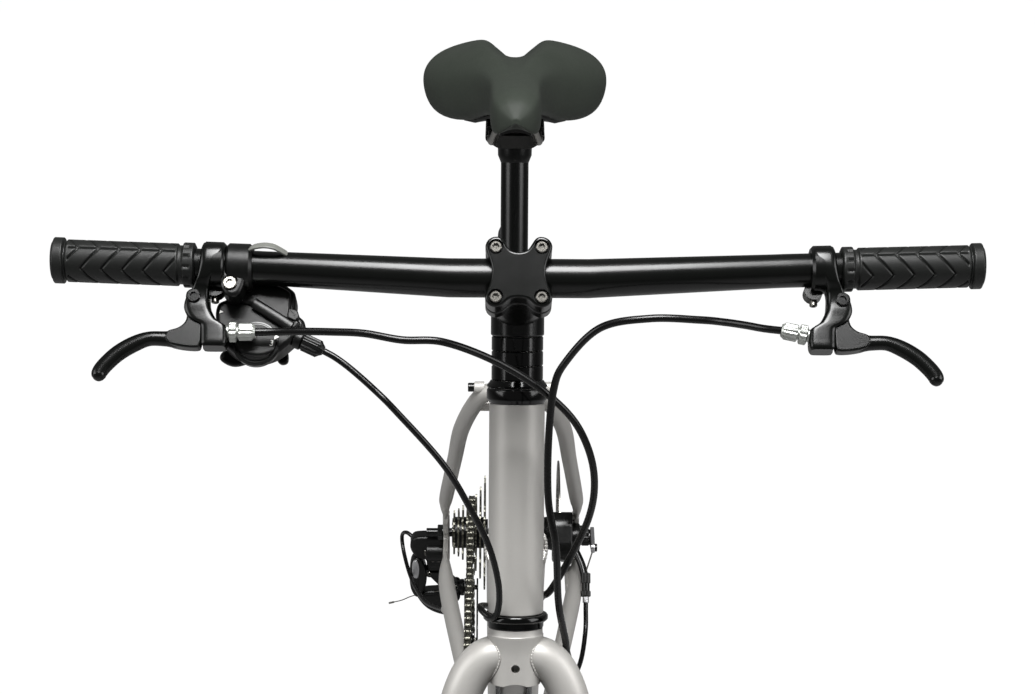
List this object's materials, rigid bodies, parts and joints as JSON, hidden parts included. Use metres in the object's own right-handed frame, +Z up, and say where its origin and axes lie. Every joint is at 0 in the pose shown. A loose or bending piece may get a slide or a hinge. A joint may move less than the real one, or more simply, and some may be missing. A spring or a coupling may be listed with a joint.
{
  "type": "city bicycle",
  "caption": "Flat-bar city bicycle with spoked wheels, disc brakes, a rear derailleur and a single chainring; steers, rolls, pedals and brakes.",
  "frame": {"origin": "on the ground, midway between the two axles", "axes": "+Z up, the bicycle faces -Y, its left side is +X"},
  "size_m": [0.611, 1.744, 0.991],
  "materials": {
    "frame_paint": "satin light silver-grey",
    "black_satin": "satin black",
    "black_gloss": "gloss black",
    "rubber": "matte black",
    "tyre": "matte black",
    "saddle": "matte charcoal cover",
    "steel": "bright",
    "chain_steel": "oiled grey",
    "clear": "clear-coated silver",
    "alloy": "satin",
    "black_plastic": "moulded black",
    "housing": "black"
  },
  "bodies": {
    "frame": {"frame": "frame_paint", "seat_collar": "black_satin", "upper_cup": "black_gloss", "lower_cup": "black_gloss", "bottom_bracket": "black_satin", "rear_axle": "steel", "rear_brake_caliper": "black_satin", "gear_loop_housing": "housing", "chain": "chain_steel", "derailleur_knuckle": "black_plastic"},
    "steering": {"fork": "frame_paint", "headset_cover": "black_gloss", "lower_spacer": "black_gloss", "middle_spacer": "black_gloss", "upper_spacer": "black_gloss", "stem": "black_satin", "stem_faceplate": "black_satin", "stem_top_cap": "black_satin", "handlebar": "black_satin", "left_grip": "rubber", "right_grip": "rubber", "left_brake_bracket": "black_satin", "right_brake_bracket": "black_satin", "left_barrel_adjuster": "clear", "right_barrel_adjuster": "clear", "shifter_body": "black_plastic", "front_brake_caliper": "black_satin", "front_axle": "steel", "front_brake_housing": "housing", "rear_brake_housing": "housing", "gear_housing": "housing"},
    "left_lever": {"left_brake_lever": "black_satin"},
    "right_lever": {"right_brake_lever": "black_satin"},
    "thumb_lever": {"thumb_lever": "black_plastic"},
    "release_lever": {"release_lever": "black_plastic"},
    "front_arm": {"front_brake_arm": "alloy"},
    "rear_arm": {"rear_brake_arm": "alloy"},
    "front_wheel": {"front_hub": "black_satin", "front_rotor": "steel", "front_rim": "alloy", "front_tyre": "tyre"},
    "rear_wheel": {"rear_hub": "black_satin", "rear_rotor": "steel", "rear_rim": "alloy", "rear_tyre": "tyre"},
    "cassette": {"cassette": "chain_steel"},
    "crank": {"right_crank": "black_satin", "left_crank": "black_satin", "chainring": "black_satin"},
    "left_pedal": {"left_pedal": "black_plastic"},
    "right_pedal": {"right_pedal": "black_plastic"},
    "outer_link": {"derailleur_outer_link": "black_plastic"},
    "inner_link": {"derailleur_inner_link": "black_plastic"},
    "cage_knuckle": {"cage_knuckle": "black_plastic"},
    "cage": {"derailleur_cage": "black_satin"},
    "guide_pulley": {"guide_pulley": "black_plastic"},
    "tension_pulley": {"tension_pulley": "black_plastic"},
    "seat": {"seat_post": "black_satin", "saddle_base": "black_plastic", "saddle_cover": "saddle"}
  },
  "joints": [
    {"name": "steering", "type": "hinge", "parent": "frame", "child": "steering", "pos_m": [0, -0.35716, 0.71771], "axis": [0, 0.309, 0.9511], "range_deg": [-45, 45], "deforming": ["rear_brake_housing", "gear_housing"]},
    {"name": "front_wheel_spin", "type": "hinge", "parent": "steering", "child": "front_wheel", "pos_m": [0, -0.528, 0.344], "axis": [1, 0, 0], "continuous": true},
    {"name": "rear_wheel_spin", "type": "hinge", "parent": "frame", "child": "rear_wheel", "pos_m": [0, 0.528, 0.344], "axis": [1, 0, 0], "continuous": true},
    {"name": "crank_spin", "type": "hinge", "parent": "frame", "child": "crank", "pos_m": [0, 0.09283, 0.279], "axis": [1, 0, 0], "continuous": true, "deforming": ["chain"]},
    {"name": "cassette_spin", "type": "hinge", "parent": "frame", "child": "cassette", "pos_m": [0, 0.528, 0.344], "axis": [1, 0, 0], "continuous": true, "deforming": ["chain"]},
    {"name": "left_pedal_spin", "type": "hinge", "parent": "crank", "child": "left_pedal", "pos_m": [0, 0.24005, 0.194], "axis": [1, 0, 0], "continuous": true},
    {"name": "right_pedal_spin", "type": "hinge", "parent": "crank", "child": "right_pedal", "pos_m": [0, -0.0544, 0.364], "axis": [1, 0, 0], "continuous": true},
    {"name": "left_brake_pull", "type": "hinge", "parent": "steering", "child": "left_lever", "pos_m": [0.21, -0.35732, 0.94629], "axis": [0, -0.766, 0.6428], "range_deg": [0, 22], "stiffness_Nm_per_rad": 1},
    {"name": "right_brake_pull", "type": "hinge", "parent": "steering", "child": "right_lever", "pos_m": [-0.21, -0.35732, 0.94629], "axis": [0, 0.766, -0.6428], "range_deg": [0, 22], "stiffness_Nm_per_rad": 1},
    {"name": "thumb_shift", "type": "hinge", "parent": "steering", "child": "thumb_lever", "pos_m": [-0.164, -0.3407, 0.91733], "axis": [0, -0.766, 0.6428], "range_deg": [0, 30], "stiffness_Nm_per_rad": 0.3},
    {"name": "release_shift", "type": "hinge", "parent": "steering", "child": "release_lever", "pos_m": [-0.164, -0.33687, 0.91411], "axis": [0, -0.766, 0.6428], "range_deg": [0, 15], "stiffness_Nm_per_rad": 0.3},
    {"name": "front_arm_pull", "type": "hinge", "parent": "steering", "child": "front_arm", "pos_m": [0, -0.458, 0.374], "axis": [1, 0, 0], "range_deg": [0, 15]},
    {"name": "rear_arm_pull", "type": "hinge", "parent": "frame", "child": "rear_arm", "pos_m": [0, 0.461, 0.372], "axis": [1, 0, 0], "range_deg": [0, 15]},
    {"name": "gear_shift", "type": "hinge", "parent": "frame", "child": "outer_link", "pos_m": [-0.09, 0.542, 0.29], "axis": [0, 1, 0], "range_deg": [-15, 30], "stiffness_Nm_per_rad": 3, "deforming": ["chain"]},
    {"name": "inner_link_swing", "type": "hinge", "parent": "frame", "child": "inner_link", "pos_m": [-0.076, 0.542, 0.29], "axis": [0, 1, 0], "range_deg": [-15, 30]},
    {"name": "knuckle_swing", "type": "hinge", "parent": "outer_link", "child": "cage_knuckle", "pos_m": [-0.0745, 0.542, 0.273], "axis": [0, 1, 0], "range_deg": [-30, 15], "deforming": ["chain"]},
    {"name": "cage_tension", "type": "hinge", "parent": "cage_knuckle", "child": "cage", "pos_m": [-0.043, 0.544, 0.268], "axis": [1, 0, 0], "range_deg": [-20, 20], "stiffness_Nm_per_rad": 2, "deforming": ["chain"]},
    {"name": "guide_pulley_spin", "type": "hinge", "parent": "cage", "child": "guide_pulley", "pos_m": [-0.043, 0.544, 0.268], "axis": [1, 0, 0], "continuous": true, "deforming": ["chain"]},
    {"name": "tension_pulley_spin", "type": "hinge", "parent": "cage", "child": "tension_pulley", "pos_m": [-0.043, 0.522, 0.213], "axis": [1, 0, 0], "continuous": true, "deforming": ["chain"]},
    {"name": "seat_height", "type": "slide", "parent": "frame", "child": "seat", "axis": [0, 0.2924, 0.9563], "range_m": [-0.04, 0.06]}
  ],
  "couplings": [
    {"joint": "cassette_spin", "follows": "crank_spin", "ratio": 2.2222},
    {"joint": "guide_pulley_spin", "follows": "crank_spin", "ratio": -3.6364},
    {"joint": "tension_pulley_spin", "follows": "crank_spin", "ratio": 3.6364},
    {"joint": "front_arm_pull", "follows": "left_brake_pull", "ratio": 0.68},
    {"joint": "rear_arm_pull", "follows": "right_brake_pull", "ratio": 0.68},
    {"joint": "inner_link_swing", "follows": "gear_shift", "ratio": 1},
    {"joint": "knuckle_swing", "follows": "gear_shift", "ratio": -1}
  ]
}
